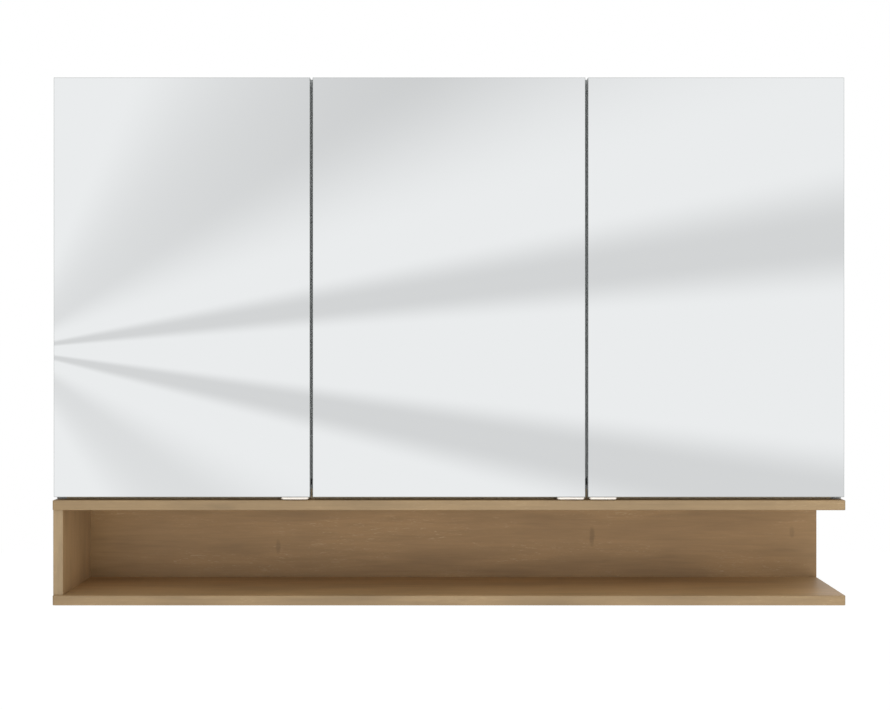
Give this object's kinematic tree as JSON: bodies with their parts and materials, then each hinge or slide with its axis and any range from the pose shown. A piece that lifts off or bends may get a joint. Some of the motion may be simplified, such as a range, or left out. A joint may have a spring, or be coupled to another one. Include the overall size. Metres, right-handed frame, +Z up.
{
  "type": "mirror cabinet",
  "caption": "Wall-hung mirror cabinet: frameless mirror doors on concealed hinges over an open oak shelf niche.",
  "frame": {"origin": "middle of the underside, halfway between the niche boards' front edge and the wall", "axes": "+X to the right as seen by a person in front of it, +Y towards the wall, +Z up"},
  "size_m": [1.2, 0.2, 0.8],
  "materials": {
    "oak": "light oak decor with a matt lacquer",
    "white_board": "white melamine on board",
    "mirror_glass": "silvered float glass with polished edges",
    "cream_lacquer": "cream lacquer, satin",
    "nickel": "nickel plated steel",
    "screw_steel": "zinc plated steel",
    "zinc_steel": "zinc plated steel sheet",
    "shelf_glass": "clear float glass with ground edges",
    "buffer_rubber": "black rubber"
  },
  "bodies": {
    "carcass": {"niche_bottom_board": "oak", "niche_top_board": "oak", "niche_upright": "oak", "niche_back_panel": "oak", "left_side_panel": "white_board", "right_side_panel": "white_board", "top_panel": "white_board", "bottom_panel": "white_board", "left_partition": "white_board", "right_partition": "white_board", "rear_panel": "white_board", "hanger_plates": "zinc_steel", "hanger_screws": "screw_steel", "left_shelves": "shelf_glass", "middle_shelves": "shelf_glass", "right_shelves": "shelf_glass", "shelf_pins": "nickel", "door_buffers": "buffer_rubber", "arm_pins": "nickel", "mounting_plates": "nickel", "plate_screws": "nickel", "left_hinge_arms": "nickel", "middle_hinge_arms": "nickel", "right_hinge_arms": "nickel"},
    "left_door": {"left_door_core": "white_board", "left_mirror": "mirror_glass", "left_pull": "cream_lacquer", "left_hinge_cups": "nickel", "left_cup_pins": "screw_steel", "left_door_screws": "screw_steel"},
    "left_inner_link": {"left_inner_links": "nickel"},
    "left_outer_link": {"left_outer_links": "nickel"},
    "middle_door": {"middle_door_core": "white_board", "middle_mirror": "mirror_glass", "middle_pull": "cream_lacquer", "middle_hinge_cups": "nickel", "middle_cup_pins": "screw_steel", "middle_door_screws": "screw_steel"},
    "middle_inner_link": {"middle_inner_links": "nickel"},
    "middle_outer_link": {"middle_outer_links": "nickel"},
    "right_door": {"right_door_core": "white_board", "right_mirror": "mirror_glass", "right_pull": "cream_lacquer", "right_hinge_cups": "nickel", "right_cup_pins": "screw_steel", "right_door_screws": "screw_steel"},
    "right_inner_link": {"right_inner_links": "nickel"},
    "right_outer_link": {"right_outer_links": "nickel"}
  },
  "joints": [
    {"name": "left_inner_link_turn", "type": "hinge", "parent": "carcass", "child": "left_inner_link", "pos_m": [-0.5716, -0.0815, 0.4815], "axis": [0, 0, 1], "range_deg": [0, 30.24]},
    {"name": "left_door_swing", "type": "hinge", "parent": "left_inner_link", "child": "left_door", "pos_m": [-0.589, -0.0809, 0.4815], "axis": [0, 0, -1], "range_deg": [0, 125.24]},
    {"name": "left_outer_link_turn", "type": "hinge", "parent": "carcass", "child": "left_outer_link", "pos_m": [-0.561, -0.06775, 0.4815], "axis": [0, 0, 1], "range_deg": [0, 29.81]},
    {"name": "middle_inner_link_turn", "type": "hinge", "parent": "carcass", "child": "middle_inner_link", "pos_m": [-0.1786, -0.0815, 0.4815], "axis": [0, 0, 1], "range_deg": [0, 30.24]},
    {"name": "middle_door_swing", "type": "hinge", "parent": "middle_inner_link", "child": "middle_door", "pos_m": [-0.196, -0.0809, 0.4815], "axis": [0, 0, -1], "range_deg": [0, 125.24]},
    {"name": "middle_outer_link_turn", "type": "hinge", "parent": "carcass", "child": "middle_outer_link", "pos_m": [-0.168, -0.06775, 0.4815], "axis": [0, 0, 1], "range_deg": [0, 29.81]},
    {"name": "right_inner_link_turn", "type": "hinge", "parent": "carcass", "child": "right_inner_link", "pos_m": [0.5716, -0.0815, 0.4815], "axis": [0, 0, -1], "range_deg": [0, 30.24]},
    {"name": "right_door_swing", "type": "hinge", "parent": "right_inner_link", "child": "right_door", "pos_m": [0.589, -0.0809, 0.4815], "axis": [0, 0, 1], "range_deg": [0, 125.24]},
    {"name": "right_outer_link_turn", "type": "hinge", "parent": "carcass", "child": "right_outer_link", "pos_m": [0.561, -0.06775, 0.4815], "axis": [0, 0, -1], "range_deg": [0, 29.81]}
  ],
  "couplings": [
    {"joint": "left_inner_link_turn", "follows": "left_door_swing", "ratio": 0.24146},
    {"joint": "left_outer_link_turn", "follows": "left_door_swing", "ratio": 0.23802},
    {"joint": "middle_inner_link_turn", "follows": "middle_door_swing", "ratio": 0.24146},
    {"joint": "middle_outer_link_turn", "follows": "middle_door_swing", "ratio": 0.23802},
    {"joint": "right_inner_link_turn", "follows": "right_door_swing", "ratio": 0.24146},
    {"joint": "right_outer_link_turn", "follows": "right_door_swing", "ratio": 0.23802}
  ]
}
